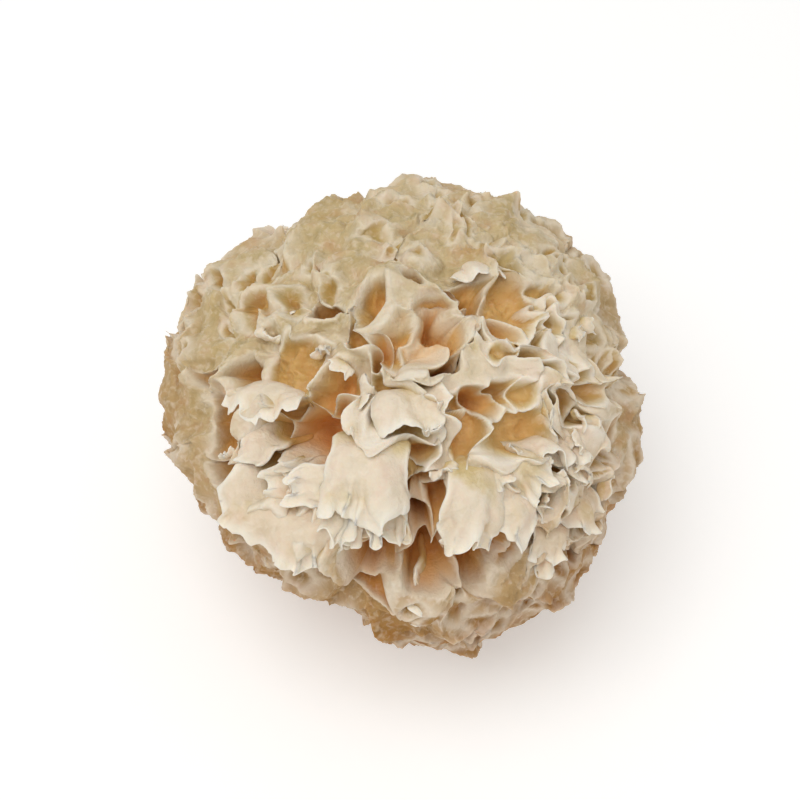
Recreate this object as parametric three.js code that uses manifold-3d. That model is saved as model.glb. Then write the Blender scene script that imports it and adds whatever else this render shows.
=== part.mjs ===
// Dried snow fungus: one whole dried head, which grew as a single piece.
// Millimetres, +Z up. The origin is the middle of the flat cut under the head, where it left its log.
// The head is a lumpy ball. Its skin is carved by pits of many sizes, which leave sharp crests between
// them, and thin fronds stand out of it on its best side and hang over.

import * as THREE from 'three';
import { mergeVertices } from 'three/addons/utils/BufferGeometryUtils.js';
import Module from 'manifold-3d';

const wasm = await Module();
wasm.setup();

const { smoothstep, lerp, clamp, degToRad } = THREE.MathUtils;
const TURN = 2 * Math.PI;

// Driving dimensions of the head. The skin lies at a share of the way out to the head's outermost tips.
const HALF_WIDTH = 55;
const HALF_DEPTH = 57;
const HALF_HEIGHT = 49.5;
const MIDDLE_HEIGHT = 48;
const SKIN_SHARE = 0.925;
const BASE_RADIUS = 17;
const BASE_HEIGHT = 30;
const FLOOR_CLEARANCE = 1.4;

// Driving dimensions of the fronds. The root share is of the way from the middle out to the tips. A frond
// rises a share of the rest of the way, then bends over within so many millimetres and a share of its
// length. Beyond, it droops more than the head curves away below it. Its rim has rounded corners and lobes,
// and its root is narrower, reaching a share of its width to each side, and may bow.
const ROOT_SHARE = 0.66;
const RISE_SHARE = 0.8;
const BEND = 3;
const BEND_SHARE = 0.35;
const DROOP = 1.5;
const CORNER_CUT = 0.6;
const LOBE_WIDTH = 5;
const ROOT_HALF = 0.25;
const ROOT_BOW = 0.22;
const FAN = 1.3;
const FROND_THICKNESS = 1.5;
const ROOT_THICKNESS = 2.6;

// How fine the solid is: quads along each edge of the ball, which starts as a cube, and how much closer
// together they lie on the best side. A frond's sheet is worked out finely and cut to larger facets.
const SKIN_QUADS = 27;
const FINER_FRONT = 0.22;
const SHEET_ACROSS = 25;
const SHEET_ALONG = 13;
const WIDE_FACETS = { across: 8, along: 4 };
const NARROW_FACETS = { across: 4, along: 3 };
const WIDE_FROND = 12;

// The best side of the head leans up from the front by this angle. Pits and fronds on it are placed by
// how far across and up that side they sit, as shares of the head's radius.
const BEST_SIDE_LEAN = degToRad(55);
const ACROSS = new THREE.Vector3(1, 0, 0);
const UP = new THREE.Vector3(0, Math.sin(BEST_SIDE_LEAN), Math.cos(BEST_SIDE_LEAN));
const OUT = new THREE.Vector3(0, -Math.cos(BEST_SIDE_LEAN), Math.sin(BEST_SIDE_LEAN));
const MIDDLE = new THREE.Vector3(0, 0, MIDDLE_HEIGHT);

// Broad dents and bulges in the outline: the angle round the best side, depth and angular spread. They
// reach further towards the best side, and away from it, than they do round it.
const DENTS = [
  { turn: 248, depth: 0.25, spread: 0.34 },
  { turn: 214, depth: 0.13, spread: 0.36 },
  { turn: 112, depth: 0.05, spread: 0.30 },
  { turn: 152, depth: -0.03, spread: 0.30 },
  { turn: 70, depth: -0.03, spread: 0.70 },
];
const DENT_NARROWING = 0.5;

// The pits of the best side: across, up, half width and depth.
const SHOWN_PITS = [
  [-0.34, 0.49, 3.8, 8], [-0.68, 0.205, 4.0, 10], [-0.80, 0.20, 4.0, 8], [-0.09, 0.52, 4.5, 5],
  [-0.18, 0.36, 5.5, 5], [-0.08, 0.32, 3.2, 8], [-0.10, 0.24, 3.2, 8], [-0.47, 0.24, 7.5, 4],
  [-0.28, 0.08, 6.5, 11], [-0.75, 0.07, 4.5, 5], [-0.35, -0.08, 8.5, 21], [-0.43, -0.15, 5.0, 17],
  [-0.26, 0.0, 6.0, 14], [-0.50, 0.03, 4.5, 9], [-0.59, -0.21, 6.5, 12], [-0.76, -0.06, 6.5, 8],
  [-0.72, -0.22, 6.5, 9], [-0.57, -0.10, 6.0, 13], [-0.33, -0.60, 5.0, 9], [-0.10, -0.55, 5.0, 15],
  [-0.12, -0.68, 5.0, 7], [0.07, -0.42, 6.0, 21], [0.12, -0.55, 7.0, 17], [0.27, -0.56, 6.5, 13],
  [0.0, -0.48, 4.0, 15], [0.17, -0.33, 5.0, 13], [0.08, -0.13, 3.8, 9], [0.10, -0.25, 4.0, 13],
  [0.30, -0.05, 5.5, 7], [0.52, -0.05, 6.5, 7], [0.62, -0.19, 3.2, 14], [0.56, -0.29, 3.4, 14],
  [0.65, -0.33, 2.8, 6], [0.42, -0.54, 1.6, 5], [0.20, 0.36, 4.6, 11], [0.20, 0.25, 3.4, 19],
  [0.28, 0.27, 3.2, 11], [0.34, 0.10, 4.4, 13], [0.42, 0.13, 3.4, 7], [0.25, 0.04, 1.7, 9],
  [0.07, 0.30, 2.6, 9], [0.0, 0.34, 3.6, 6], [0.12, 0.12, 4.2, 7], [0.30, 0.53, 6.5, 7],
  [0.46, 0.52, 6.5, 5], [0.21, 0.56, 3.2, 8], [0.30, 0.46, 2.8, 10], [0.14, 0.50, 4.0, 7],
  [0.45, 0.42, 3.0, 9], [0.57, 0.47, 2.2, 5], [0.57, 0.33, 2.4, 4], [0.55, 0.25, 2.2, 5],
  [0.60, 0.20, 2.4, 4], [0.68, 0.19, 2.4, 6], [0.70, 0.375, 2.4, 4], [0.53, 0.11, 2.2, 4],
  [0.74, 0.08, 2.2, 5], [0.77, 0.02, 2.8, 4], [0.87, 0.10, 3.0, 4], [0.06, 0.60, 2.6, 4],
];

// The fronds of the best side. across and up place a frond, drape is the direction in which it hangs
// over, in degrees round that side, and high is how near its bend comes to the outermost tips.
// across, up, drape, length, width, curl, cup, flip, ruffle, folds, high
const SHOWN_FRONDS = [
  [-0.11, -0.07, 262, 17, 18, 1.40, 0.9, 0.2, 1.1, 1.7, 1.03],
  [-0.20, -0.24, 192, 13, 9, 1.30, 0.4, 0.3, 0.6, 0.9, 0.97],
  [-0.19, -0.30, 250, 9, 8, 1.30, 0.8, 0.9, 0.9, 1.0, 1.00],
  [-0.05, -0.28, 270, 9, 8, 1.35, -0.6, 1.0, 0.9, 1.0, 1.01],
  [-0.43, -0.25, 190, 5, 8, 1.3, 0.4, 0.4, 0.4, 0.8, 0.98],
  [-0.44, -0.35, 252, 10, 31, 1.40, 0.1, 0.3, 0.8, 2.4, 1.01],
  [0.31, -0.17, 262, 17, 14, 1.45, 0.6, 0.5, 1.1, 1.7, 1.01],
  [0.45, -0.22, 276, 13, 12, 1.40, 0.4, 0.6, 0.9, 1.1, 0.99],
  [0.44, -0.15, 318, 8, 9, 1.35, 0.3, 0.9, 0.9, 1.2, 1.02],
  [0.56, -0.10, 282, 4, 20, 1.1, -0.4, 0.4, 0.8, 1.6, 0.98],
  [-0.57, -0.08, 213, 6, 7, 1.3, 0.7, 0.3, 0.4, 0.7, 0.96],
  [-0.57, 0.15, 264, 6, 19, 1.35, -0.2, 0.2, 0.5, 1.5, 0.99],
  [0.03, 0.13, 285, 9, 16, 1.3, 0.3, 0.4, 0.7, 1.2, 0.97],
  [0.33, 0.68, 268, 4, 12, 1.3, -0.4, 0.6, 0.4, 0.8, 0.96],
  [0.75, -0.30, 290, 8, 12, 1.3, 0.2, 0.4, 0.9, 1.3, 0.97],
  [0.64, -0.28, 262, 6, 7, 1.3, 0.2, 0.4, 0.8, 0.9, 0.96],
  [0.62, -0.42, 275, 7, 11, 1.3, 0.2, 0.4, 0.8, 1.2, 0.96],
  [0.13, -0.67, 245, 5, 7, 1.3, 0.2, 0.6, 0.6, 0.9, 0.96],
  [0.57, -0.50, 280, 6, 8, 1.3, 0.2, 0.4, 0.8, 1.0, 0.96],
  [0.72, -0.10, 300, 4, 5, 1.3, 0.2, 0.6, 0.6, 0.8, 0.97],
];

// A repeatable number from 0 to 1 for any key.
function chance(key) {
  const x = Math.sin(key * 12.9898 + 4.1414) * 43758.5453;
  return x - Math.floor(x);
}

// The direction from the middle of the head to a place on its best side.
function placeOnBestSide(across, up) {
  const out = Math.sqrt(Math.max(0, 1 - across * across - up * up));
  const place = new THREE.Vector3().addScaledVector(ACROSS, across).addScaledVector(UP, up);
  return place.addScaledVector(OUT, out).normalize();
}

// A direction lying in the face of the best side, at an angle in degrees.
function turnOnBestSide(degrees) {
  const direction = new THREE.Vector3().addScaledVector(ACROSS, Math.cos(degToRad(degrees)));
  return direction.addScaledVector(UP, Math.sin(degToRad(degrees)));
}

function angleBetween(a, b) {
  return Math.acos(clamp(a.dot(b), -1, 1));
}

const DENT_AXES = DENTS.map((dent) => turnOnBestSide(dent.turn));

// Distance from the middle of the head to its outermost tips along a unit direction.
function reach(out) {
  const radius = 1 / Math.hypot(out.x / HALF_WIDTH, out.y / HALF_DEPTH, out.z / HALF_HEIGHT);
  const flat = out.clone().addScaledVector(OUT, -(1 - DENT_NARROWING) * out.dot(OUT)).normalize();
  return DENTS.reduce((dented, { depth, spread }, i) => {
    return dented * (1 - depth * Math.exp(-((angleBetween(flat, DENT_AXES[i]) / spread) ** 2)));
  }, radius);
}

// Sine waves in scattered directions, all of about one length.
function scatteredWaves(seed, count, length) {
  return Array.from({ length: count }, (_, i) => {
    const key = seed + i * 5.1;
    const z = 2 * chance(key) - 1;
    const angle = TURN * chance(key + 1.3);
    const flat = Math.sqrt(1 - z * z);
    const pitch = TURN / (length * (0.7 + 0.7 * chance(key + 2.7)));
    const run = new THREE.Vector3(flat * Math.cos(angle), flat * Math.sin(angle), z).multiplyScalar(pitch);
    return { run, phase: TURN * chance(key + 3.9) };
  });
}

function threeWaves(seed, count, length) {
  return [0, 1, 2].map((axis) => scatteredWaves(seed + 40 * axis, count, length));
}

function waveHeight(waves, point) {
  const total = waves.reduce((sum, { run, phase }) => sum + Math.sin(point.dot(run) + phase), 0);
  return total / Math.sqrt(waves.length / 2);
}

function waveShift(three, point) {
  return new THREE.Vector3(...three.map((waves) => waveHeight(waves, point)));
}

// ---- The pits ----

// Pit widths are measured on a ball of this radius. Waves bend that ball, so that no pit is quite round.
const NOMINAL_RADIUS = 52;
const BROAD_BEND = { waves: threeWaves(801, 10, 17), size: 1.4 };
const FINE_BEND = { waves: threeWaves(951, 10, 6.5), size: 0.4 };
const LUMPS = scatteredWaves(401, 10, 11);
const LUMP_SIZE = 0.5;

// Where the head is open and ruffled: direction and angular spread. Elsewhere its skin is closed, with
// fewer and shallower pits.
const OPEN_PLACES = [
  { place: placeOnBestSide(0.05, -0.10), spread: 0.50 },
  { place: placeOnBestSide(-0.45, -0.10), spread: 0.30 },
  { place: placeOnBestSide(0.70, 0.02), spread: 0.36 },
  { place: placeOnBestSide(0.62, 0.30), spread: 0.24 },
  { place: new THREE.Vector3(0.65, 0.75, -0.1).normalize(), spread: 0.42 },
  { place: new THREE.Vector3(-0.7, 0.7, 0).normalize(), spread: 0.42 },
  { place: new THREE.Vector3(0, 0.95, -0.3).normalize(), spread: 0.45 },
];

// How the other pits are set out over the rest of the head: how many places there are, how far they stray,
// how low they reach and how far they keep from the shown pits.
const LATTICE_POINTS = 460;
const LATTICE_JITTER = 0.13;
const LOWEST_PIT = -0.93;
const PIT_MARGIN = 0.03;

// On closed and on open skin: the share of those places with a pit, the least half width and depth and how
// much they vary, and how the side of a pit steepens towards its rim.
const PIT_SHARES = [0.45, 1];
const PIT_WIDTHS = [2, 3];
const PIT_WIDTH_SPREADS = [1.8, 2.4];
const PIT_DEPTHS = [1.2, 3];
const PIT_DEPTH_SPREADS = [2.5, 7];
const PIT_POWERS = [1.9, 3.2];

// How open the head is along a unit direction, from 0, a closed skin, to 1.
function openness(out) {
  const total = OPEN_PLACES.reduce((sum, { place, spread }) => {
    return sum + Math.exp(-((angleBetween(out, place) / spread) ** 2));
  }, 0);
  return Math.min(1, total);
}

// Evenly spread directions over a whole sphere, by the golden angle.
function latticeDirection(i, count) {
  const z = 1 - (2 * (i + 0.5)) / count;
  const flat = Math.sqrt(1 - z * z);
  const angle = Math.PI * (3 - Math.sqrt(5)) * i;
  return new THREE.Vector3(flat * Math.cos(angle), flat * Math.sin(angle), z);
}

function bent(out) {
  const point = out.clone().multiplyScalar(NOMINAL_RADIUS);
  point.addScaledVector(waveShift(BROAD_BEND.waves, point), BROAD_BEND.size);
  point.addScaledVector(waveShift(FINE_BEND.waves, point), FINE_BEND.size);
  return point.normalize();
}

function makePit(out, width, depth, power) {
  return { out, centre: bent(out), width: width / NOMINAL_RADIUS, depth, power };
}

function shownPits() {
  return SHOWN_PITS.map(([across, up, width, depth]) => {
    return makePit(placeOnBestSide(across, up), width, depth, PIT_POWERS[1]);
  });
}

// The pits of the rest of the head. Where it is open they are more, wider and deeper.
function otherPits(shown) {
  const pits = [];
  for (let i = 0; i < LATTICE_POINTS; i += 1) {
    const lattice = latticeDirection(i, LATTICE_POINTS);
    const jitter = [0, 1, 2].map((axis) => LATTICE_JITTER * (chance(5000 + 3 * i + axis) - 0.5));
    const out = lattice.clone().add(new THREE.Vector3(...jitter)).normalize();
    const isClear = shown.every((pit) => angleBetween(out, pit.out) >= pit.width + PIT_MARGIN);
    const isOpen = openness(out);
    const between = (closedAndOpen) => lerp(...closedAndOpen, isOpen);
    if (lattice.z >= LOWEST_PIT && isClear && chance(5700 + i) <= between(PIT_SHARES)) {
      const width = between(PIT_WIDTHS) + between(PIT_WIDTH_SPREADS) * chance(5500 + i) ** 2;
      const depth = between(PIT_DEPTHS) + between(PIT_DEPTH_SPREADS) * chance(5600 + i) ** 2;
      pits.push(makePit(out, width, depth, between(PIT_POWERS)));
    }
  }
  return pits;
}

// How deep the pits are along a unit direction. Only the deepest pit there counts, so neighbours meet in
// a sharp crest.
function carvedDepth(pits, out) {
  const place = bent(out);
  return pits.reduce((deepest, { centre, width, depth, power }) => {
    const across = Math.sqrt(Math.max(0, 2 - 2 * place.dot(centre))) / width;
    return Math.max(deepest, depth * (1 - across ** power));
  }, 0);
}

// ---- The fronds ----

// The two sizes of ruffle along a rim: waves per frond, height and side swing as shares of the wave's
// length, and how far along the frond they start.
const RUFFLES = [
  { finer: 1, height: 0.32, swing: 0.4, start: 0.30 },
  { finer: 3.1, height: 0.34, swing: 0.5, start: 0.62 },
];
const RUFFLE_END = 1.05;

// The bend starts at this share of the rise. The cup leaves the lean alone where the square of the place
// across is the level, and the rim flips up from so far along the frond.
const BEND_START = 0.6;
const CUP_LEVEL = 0.33;
const FLIP_START = 0.82;

// A broad and a fine wave make the rim uneven, by these shares of the frond's length, between two places
// along it. The broad one has so many half turns, and no step is shorter than the least share.
const RIM_BROAD = 0.14;
const RIM_FINE = 0.05;
const RIM_TURNS = 1.9;
const RIM_PLACES = [0.55, 0.85];
const LEAST_STEP = 0.08;

// How far along its length each row of a sheet lies: the rows are closer near the rim.
const ROWS = Array.from({ length: SHEET_ALONG }, (_, j) => 1 - (1 - j / (SHEET_ALONG - 1)) ** 1.2);

// A frond: out is its direction from the middle, drape the direction in which it hangs over.
function shownFronds() {
  return SHOWN_FRONDS.map(([across, up, drape, length, width, curl, cup, flip, ruffle, folds, high], i) => {
    const out = placeOnBestSide(across, up);
    const hang = turnOnBestSide(drape);
    const over = hang.addScaledVector(out, -hang.dot(out)).normalize();
    const side = new THREE.Vector3().crossVectors(out, over);
    return { seed: 1 + i, out, over, side, length, width, curl, cup, flip, ruffle, folds, high };
  });
}

function trapezoid(heights) {
  let sum = 0;
  for (let j = 1; j < ROWS.length; j += 1) {
    sum += 0.5 * (heights[j] + heights[j - 1]) * (ROWS[j] - ROWS[j - 1]);
  }
  return sum;
}

// The ruffles of one frond, with their lean and sway scaled to its width and length.
function ruffleWaves(frond, total) {
  return RUFFLES.map(({ finer, height, swing, start }, k) => {
    const key = (n) => TURN * chance(frond.seed * 17.3 + n);
    const folds = frond.folds * finer;
    const strength = ROWS.map((v) => smoothstep(v, start, RUFFLE_END));
    const size = (frond.ruffle * (frond.width / folds)) / (trapezoid(strength) * total);
    return {
      folds,
      strength,
      lift: size * height,
      sway: (size * swing) / (4 * Math.PI),
      wander: key(20 + k),
      phase: key(10 + k),
      uneven: key(30 + k),
    };
  });
}

// The sheet of one frond, as rows of points. Each line from root to rim walks outwards, bends over into
// the drape, follows the head round and swings with the ruffles.
function frondSheet(frond) {
  const { out, over, side, width } = frond;
  const key = (n) => chance(frond.seed * 17.3 + n);
  const radius = reach(out);
  const rise = radius * (frond.high - ROOT_SHARE) * RISE_SHARE;
  const total = rise + frond.length;
  const share = rise / total;
  const bend = (BEND + BEND_SHARE * frond.length) / total;
  const lobes = width / LOBE_WIDTH;
  const baseHalf = width * ROOT_HALF;
  const fan = FAN * Math.asin(clamp((width / 2 - baseHalf) / total, 0, 0.8));
  const bow = width * ROOT_BOW * (2 * key(5) - 1);
  const ruffles = ruffleWaves(frond, total);
  return Array.from({ length: SHEET_ACROSS }, (_, i) => {
    const u = (2 * i) / (SHEET_ACROSS - 1) - 1;
    const rimBroad = RIM_BROAD * Math.sin(RIM_TURNS * Math.PI * u + TURN * key(1));
    const rimFine = RIM_FINE * Math.sin(lobes * Math.PI * u + TURN * key(2));
    const rim = rimBroad + rimFine - CORNER_CUT * Math.abs(u) ** 3;
    const place = MIDDLE.clone().addScaledVector(out, radius * ROOT_SHARE);
    place.addScaledVector(side, baseHalf * u).addScaledVector(over, bow * u * u);
    let last = null;
    return ROWS.map((v, j) => {
      let lean = frond.curl * smoothstep(v, share * BEND_START, share + bend);
      lean += (DROOP * Math.max(0, v - share) * total) / NOMINAL_RADIUS;
      lean += frond.cup * (u * u - CUP_LEVEL) * smoothstep(v, share * BEND_START, 1);
      lean -= frond.flip * smoothstep(v, FLIP_START, RUFFLE_END);
      let turn = fan * u;
      ruffles.forEach((ruffle) => {
        const wandering = u + 0.1 * Math.sin(2.1 * Math.PI * u + ruffle.wander);
        const phase = Math.PI * ruffle.folds * wandering + ruffle.phase;
        const size = (0.8 + 0.4 * Math.sin(1.7 * Math.PI * u + ruffle.uneven)) * ruffle.strength[j];
        lean += ruffle.lift * size * Math.sin(phase);
        turn -= ruffle.sway * size * Math.sin(2 * phase);
      });
      const step = new THREE.Vector3().addScaledVector(out, Math.cos(turn) * Math.cos(lean));
      step.addScaledVector(over, Math.cos(turn) * Math.sin(lean)).addScaledVector(side, Math.sin(turn));
      if (last) {
        const shorter = Math.max(LEAST_STEP, 1 + rim * smoothstep(v, ...RIM_PLACES));
        const length = (v - ROWS[j - 1]) * total * shorter;
        place.addScaledVector(step, 0.5 * length).addScaledVector(last, 0.5 * length);
      }
      last = step;
      return place.clone();
    });
  });
}

// ---- Solids ----

// A manifold solid from plain lists of positions and triangles.
function solidFrom(positions, triangles) {
  return new wasm.Manifold(new wasm.Mesh({
    numProp: 3,
    vertProperties: Float32Array.from(positions),
    triVerts: Uint32Array.from(triangles),
  }));
}

// A three.js geometry as a solid: its seams are merged and each point moved by a rule of its own.
function solidFromGeometry(geometry, movePoint) {
  geometry.deleteAttribute('normal');
  geometry.deleteAttribute('uv');
  const merged = mergeVertices(geometry);
  const place = merged.getAttribute('position');
  const point = new THREE.Vector3();
  for (let k = 0; k < place.count; k += 1) {
    point.fromBufferAttribute(place, k);
    movePoint(point);
    place.setXYZ(k, point.x, point.y, point.z);
  }
  return solidFrom(place.array, merged.index.array);
}

// The head's skin: a cube swollen to a ball, then carved by the pits.
function carvedSkin() {
  const shown = shownPits();
  const pits = [...shown, ...otherPits(shown)];
  const cube = new THREE.BoxGeometry(2, 2, 2, SKIN_QUADS, SKIN_QUADS, SKIN_QUADS);
  return solidFromGeometry(cube, (point) => {
    const even = point.toArray().map((share) => Math.tan((share * Math.PI) / 4));
    const out = new THREE.Vector3(...even).normalize().addScaledVector(OUT, FINER_FRONT).normalize();
    const radius = reach(out) * SKIN_SHARE;
    point.copy(MIDDLE).addScaledVector(out, radius);
    point.addScaledVector(out, LUMP_SIZE * waveHeight(LUMPS, point) - carvedDepth(pits, out));
    point.z = Math.max(point.z, FLOOR_CLEARANCE);
  });
}

// A closed solid of one frond: two faces that meet in a sharp edge all round, thicker to the root.
function frondSolid(frond) {
  const { across, along } = frond.width < WIDE_FROND ? NARROW_FACETS : WIDE_FACETS;
  const sheet = frondSheet(frond);
  const at = (i, j) => i * (along + 1) + j;
  const corners = [];
  for (let i = 0; i <= across; i += 1) {
    for (let j = 0; j <= along; j += 1) {
      corners.push(sheet[(i * (SHEET_ACROSS - 1)) / across][(j * (SHEET_ALONG - 1)) / along]);
    }
  }
  const positions = corners.flatMap((corner) => corner.toArray());
  const back = corners.map((_, k) => k);
  for (let i = 1; i < across; i += 1) {
    for (let j = 1; j < along; j += 1) {
      const acrossWay = corners[at(i + 1, j)].clone().sub(corners[at(i - 1, j)]);
      const alongWay = corners[at(i, j + 1)].clone().sub(corners[at(i, j - 1)]);
      const normal = acrossWay.cross(alongWay).normalize();
      const half = 0.5 * lerp(ROOT_THICKNESS, FROND_THICKNESS, j / (along - 1));
      const k = at(i, j);
      corners[k].clone().addScaledVector(normal, half).toArray(positions, 3 * k);
      back[k] = positions.length / 3;
      positions.push(...corners[k].clone().addScaledVector(normal, -half).toArray());
    }
  }
  const triangles = [];
  for (let i = 0; i < across; i += 1) {
    for (let j = 0; j < along; j += 1) {
      const [a, b, c, d] = [at(i, j), at(i + 1, j), at(i + 1, j + 1), at(i, j + 1)];
      const [e, f, g, h] = [back[a], back[b], back[c], back[d]];
      if ((i + j) % 2 === 0) {
        triangles.push(a, b, c, a, c, d, e, g, f, e, h, g);
      } else {
        triangles.push(a, b, d, b, c, d, e, h, f, f, h, g);
      }
    }
  }
  return solidFrom(positions, triangles);
}

// The hard stump under the head, cut flat below. Its outline is uneven, as a torn stalk's is.
const STUMP_SIDES = 28;
const STUMP_WAIST = 0.88;
const STUMP_FLARE = 1.12;

function cutStump() {
  const profile = [
    [0, 0],
    [BASE_RADIUS, 0],
    [BASE_RADIUS, 1.2],
    [BASE_RADIUS * STUMP_WAIST, BASE_HEIGHT * 0.3],
    [BASE_RADIUS, BASE_HEIGHT * 0.6],
    [BASE_RADIUS * STUMP_FLARE, BASE_HEIGHT * 0.85],
    [0, BASE_HEIGHT],
  ].map(([radius, height]) => new THREE.Vector2(radius, height));
  const lathe = new THREE.LatheGeometry(profile, STUMP_SIDES);
  lathe.rotateX(Math.PI / 2);
  return solidFromGeometry(lathe, (point) => {
    const angle = Math.atan2(point.y, point.x);
    const swell = 1 + 0.07 * Math.sin(3 * angle + 0.6) + 0.05 * Math.sin(5 * angle + 2.1);
    point.x *= swell;
    point.y *= swell;
  });
}

// The whole head, joined into one closed solid, without the hollows that fronds shut in between them.
function fruitingBody() {
  const head = carvedSkin().add(cutStump());
  const joined = shownFronds().reduce((whole, frond) => whole.add(frondSolid(frond)), head);
  return joined.decompose().reduce((outer, shell) => (shell.volume() > outer.volume() ? shell : outer));
}

function geometryFrom(solid) {
  const { vertProperties, triVerts } = solid.getMesh();
  const geometry = new THREE.BufferGeometry();
  geometry.setAttribute('position', new THREE.BufferAttribute(vertProperties, 3));
  geometry.setIndex(new THREE.BufferAttribute(triVerts, 1));
  geometry.computeVertexNormals();
  return geometry;
}

const driedFrond = new THREE.MeshStandardMaterial({ color: 0xd9c9ab, roughness: 0.6, metalness: 0 });

const snowFungus = new THREE.Group();
const body = new THREE.Mesh(geometryFrom(fruitingBody()), driedFrond);
body.name = 'fruiting_body';
snowFungus.add(body);

export default snowFungus;
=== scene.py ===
"""A whole dried head of snow fungus: thin, ruffled, cream fronds that crowd out of an amber middle.

The skin's main pits and the fronds that stand on it come from the same rules and numbers as those of the
solid. Small pits, thin crests, curls, wrinkles and frills are added to them. Lengths are millimetres until
a mesh is made.
"""
import math
from types import SimpleNamespace

import bmesh
import bpy
import numpy as np
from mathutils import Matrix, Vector


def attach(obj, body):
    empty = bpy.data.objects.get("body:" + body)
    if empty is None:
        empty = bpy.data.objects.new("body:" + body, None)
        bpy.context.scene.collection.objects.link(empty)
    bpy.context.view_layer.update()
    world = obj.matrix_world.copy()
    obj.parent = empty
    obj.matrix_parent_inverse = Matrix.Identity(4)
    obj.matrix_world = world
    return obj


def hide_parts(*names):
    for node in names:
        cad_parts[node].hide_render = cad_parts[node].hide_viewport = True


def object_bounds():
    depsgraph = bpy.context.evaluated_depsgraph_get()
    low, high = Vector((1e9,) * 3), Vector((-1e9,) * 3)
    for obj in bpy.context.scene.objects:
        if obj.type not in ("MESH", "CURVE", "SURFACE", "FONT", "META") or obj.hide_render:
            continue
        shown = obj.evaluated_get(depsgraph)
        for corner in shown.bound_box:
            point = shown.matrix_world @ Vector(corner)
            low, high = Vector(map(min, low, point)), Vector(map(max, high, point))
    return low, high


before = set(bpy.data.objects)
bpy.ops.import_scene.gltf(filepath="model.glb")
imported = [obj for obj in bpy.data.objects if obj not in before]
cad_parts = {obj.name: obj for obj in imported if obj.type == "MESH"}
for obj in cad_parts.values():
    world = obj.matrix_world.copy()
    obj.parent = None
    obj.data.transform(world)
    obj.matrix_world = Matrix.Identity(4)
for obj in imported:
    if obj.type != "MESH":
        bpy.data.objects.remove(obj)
SOLID_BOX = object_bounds()

NODE = "fruiting_body"
BODY = "root"
METRES = 0.001
TURN = 2 * math.pi

# The head, as in the solid. The skin lies at a share of the way out to the head's outermost tips.
HALF_SIZE = np.array([55.0, 57.0, 49.5])
MIDDLE = np.array([0.0, 0.0, 48.0])
SKIN_SHARE = 0.925
MEAN_RADIUS = 52.0
BASE_RADIUS = 17.0
BASE_HEIGHT = 30.0
FLOOR_CLEARANCE = 1.4

# The meshes: quads along each edge of the swollen cube, how much closer together they lie on the best side,
# points across and along each frond, and how thick the dried tissue is.
SKIN_QUADS = 215
FINER_FRONT = 0.22
FROND_POINTS = (64, 30)
FRILL_POINTS = (20, 10)
THICKNESS = 0.75
FRILL_THICKNESS = 0.45

# The best side of the head leans up from the front by this angle.
BEST_SIDE_LEAN = math.radians(55)
ACROSS = np.array([1.0, 0.0, 0.0])
UP = np.array([0.0, math.sin(BEST_SIDE_LEAN), math.cos(BEST_SIDE_LEAN)])
OUT = np.array([0.0, -math.cos(BEST_SIDE_LEAN), math.sin(BEST_SIDE_LEAN)])


def unit(vector):
    return vector / np.linalg.norm(vector)


def chance(key):
    """A repeatable number from 0 to 1 for any key."""
    x = math.sin(key * 12.9898 + 4.1414) * 43758.5453
    return x - math.floor(x)


def smooth(x, low, high):
    """0 below low, 1 above high, and a soft step between."""
    t = np.clip((x - low) / (high - low), 0, 1)
    return t * t * (3 - 2 * t)


def mix(a, b, share):
    return a + (b - a) * share


def place_on_best_side(across, up):
    """The direction from the middle of the head to a place on its best side."""
    out = math.sqrt(max(0.0, 1 - across * across - up * up))
    return unit(across * ACROSS + up * UP + out * OUT)


def turn_on_best_side(degrees):
    """A direction lying in the face of the best side."""
    angle = math.radians(degrees)
    return math.cos(angle) * ACROSS + math.sin(angle) * UP


# Broad dents and bulges in the outline: the angle round the best side, depth and angular spread. They
# reach further towards the best side, and away from it, than they do round it.
DENTS = [(248, 0.25, 0.34), (214, 0.13, 0.36), (112, 0.05, 0.30), (152, -0.03, 0.30), (70, -0.03, 0.70)]
DENT_NARROWING = 0.5


def reach(directions):
    """Distance from the middle of the head to its outer surface along unit directions."""
    radius = 1 / np.sqrt(((directions / HALF_SIZE) ** 2).sum(-1))
    flat = directions - (1 - DENT_NARROWING) * (directions @ OUT)[..., None] * OUT
    flat = flat / np.linalg.norm(flat, axis=-1, keepdims=True)
    for turn, depth, spread in DENTS:
        angle = np.arccos(np.clip(flat @ turn_on_best_side(turn), -1, 1))
        radius = radius * (1 - depth * np.exp(-((angle / spread) ** 2)))
    return radius


def scattered_waves(seed, count, length):
    """Sine waves in scattered directions, all of about one length."""
    waves = []
    for i in range(count):
        key = seed + i * 5.1
        z = 2 * chance(key) - 1
        angle = TURN * chance(key + 1.3)
        flat = math.sqrt(1 - z * z)
        pitch = TURN / (length * (0.7 + 0.7 * chance(key + 2.7)))
        phase = TURN * chance(key + 3.9)
        waves.append((pitch * flat * math.cos(angle), pitch * flat * math.sin(angle), pitch * z, phase))
    return np.array(waves)


def three_waves(seed, count, length):
    return [scattered_waves(seed + 40 * axis, count, length) for axis in range(3)]


def wave_height(waves, points):
    return np.sin(points @ waves[:, :3].T + waves[:, 3]).sum(-1) / math.sqrt(len(waves) / 2)


def wave_shift(three, points):
    return np.stack([wave_height(waves, points) for waves in three], -1)


def wave_creases(waves, points):
    """Sharp ridges between rounded hollows, as in crumpled skin."""
    return 0.64 - np.abs(np.sin(points @ waves[:, :3].T + waves[:, 3])).sum(-1) / len(waves)


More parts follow.
